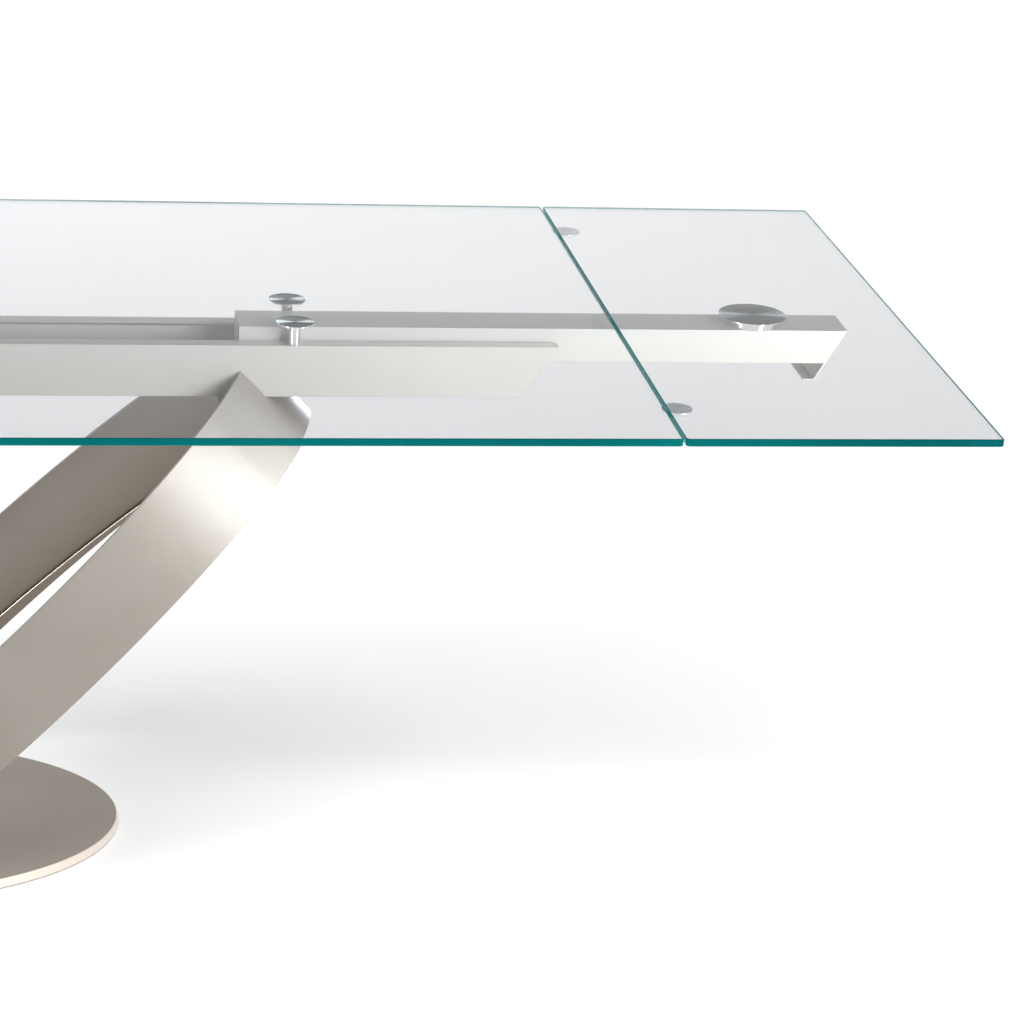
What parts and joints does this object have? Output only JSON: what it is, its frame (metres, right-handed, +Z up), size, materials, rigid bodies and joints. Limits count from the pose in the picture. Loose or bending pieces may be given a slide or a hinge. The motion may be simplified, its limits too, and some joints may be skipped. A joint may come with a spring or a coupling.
{
  "type": "extendable dining table",
  "caption": "Glass dining table with inclined elliptical ring legs on an oval plate, twin side beams, and sliding rails that carry extension leaves at both ends.",
  "frame": {"origin": "on the floor, under the middle of the table", "axes": "+X along the table towards the right-hand leaf, +Y across it towards the rear, +Z up"},
  "size_m": [2.806, 1, 0.745],
  "materials": {
    "clear_glass": "clear float glass with polished teal edges",
    "taupe_paint": "satin metallic taupe powder coat",
    "pale_paint": "satin metallic pale grey powder coat",
    "spun_aluminium": "turned, circular brushed",
    "satin_aluminium": "satin",
    "polished_steel": "polished",
    "zinc_steel": "zinc plated",
    "nylon": "machined nylon",
    "felt_rubber": "matt non-slip"
  },
  "bodies": {
    "frame": {"base_plate": "taupe_paint", "beam_cross_plates": "taupe_paint", "beam_end_caps": "pale_paint", "floor_pads": "felt_rubber", "foot_flanges": "taupe_paint", "foot_screws": "zinc_steel", "guide_ledges": "zinc_steel", "left_base_ring": "taupe_paint", "left_ring_stiffener": "taupe_paint", "left_top_bolts": "zinc_steel", "left_top_plate": "taupe_paint", "main_top_glass": "clear_glass", "peg_disc_front_left": "spun_aluminium", "peg_disc_front_right": "spun_aluminium", "peg_disc_rear_left": "spun_aluminium", "peg_disc_rear_right": "spun_aluminium", "peg_stem_front_left": "polished_steel", "peg_stem_front_right": "polished_steel", "peg_stem_rear_left": "polished_steel", "peg_stem_rear_right": "polished_steel", "peg_studs": "zinc_steel", "right_base_ring": "taupe_paint", "right_ring_stiffener": "taupe_paint", "right_top_bolts": "zinc_steel", "right_top_plate": "taupe_paint", "roller_axles": "zinc_steel", "side_beam_front": "pale_paint", "side_beam_rear": "pale_paint", "travel_stops": "zinc_steel"},
    "right_rail": {"right_disc_screw": "zinc_steel", "right_rail": "pale_paint", "right_rail_end_plate": "pale_paint", "right_rail_inner_cap": "nylon", "right_support_disc": "spun_aluminium", "right_wheel_axle": "zinc_steel"},
    "left_rail": {"left_disc_screw": "zinc_steel", "left_rail": "pale_paint", "left_rail_end_plate": "pale_paint", "left_rail_inner_cap": "nylon", "left_support_disc": "spun_aluminium", "left_wheel_axle": "zinc_steel"},
    "right_leaf": {"right_leaf_glass": "clear_glass", "right_leaf_tongues": "satin_aluminium"},
    "left_leaf": {"left_leaf_glass": "clear_glass", "left_leaf_tongues": "satin_aluminium"},
    "right_wheels": {"right_guide_wheels": "nylon"},
    "left_wheels": {"left_guide_wheels": "nylon"},
    "right_roller": {"right_support_roller": "nylon"},
    "left_roller": {"left_support_roller": "nylon"}
  },
  "joints": [
    {"name": "right_rail_slide", "type": "slide", "parent": "frame", "child": "right_rail", "axis": [1, 0, 0], "range_m": [-0.4, 0]},
    {"name": "right_leaf_tilt", "type": "hinge", "parent": "frame", "child": "right_leaf", "pos_m": [1.003, 0, 0.745], "axis": [0, -1, 0], "range_deg": [0, 20]},
    {"name": "right_wheel_spin", "type": "hinge", "parent": "right_rail", "child": "right_wheels", "pos_m": [0.527, 0, 0.69], "axis": [0, 1, 0], "range_deg": [-2100, 15]},
    {"name": "right_roller_spin", "type": "hinge", "parent": "frame", "child": "right_roller", "pos_m": [0.85, 0, 0.6647], "axis": [0, 1, 0], "range_deg": [-1925, 15]},
    {"name": "left_rail_slide", "type": "slide", "parent": "frame", "child": "left_rail", "axis": [-1, 0, 0], "range_m": [-0.4, 0]},
    {"name": "left_leaf_tilt", "type": "hinge", "parent": "frame", "child": "left_leaf", "pos_m": [-1.003, 0, 0.745], "axis": [0, 1, 0], "range_deg": [0, 20]},
    {"name": "left_wheel_spin", "type": "hinge", "parent": "left_rail", "child": "left_wheels", "pos_m": [-0.527, 0, 0.69], "axis": [0, -1, 0], "range_deg": [-2100, 15]},
    {"name": "left_roller_spin", "type": "hinge", "parent": "frame", "child": "left_roller", "pos_m": [-0.85, 0, 0.6647], "axis": [0, -1, 0], "range_deg": [-1925, 15]}
  ],
  "couplings": [
    {"joint": "right_wheel_spin", "follows": "right_rail_slide", "rad_per_m": 90.909},
    {"joint": "right_roller_spin", "follows": "right_rail_slide", "rad_per_m": 83.333},
    {"joint": "left_wheel_spin", "follows": "left_rail_slide", "rad_per_m": 90.909},
    {"joint": "left_roller_spin", "follows": "left_rail_slide", "rad_per_m": 83.333}
  ]
}
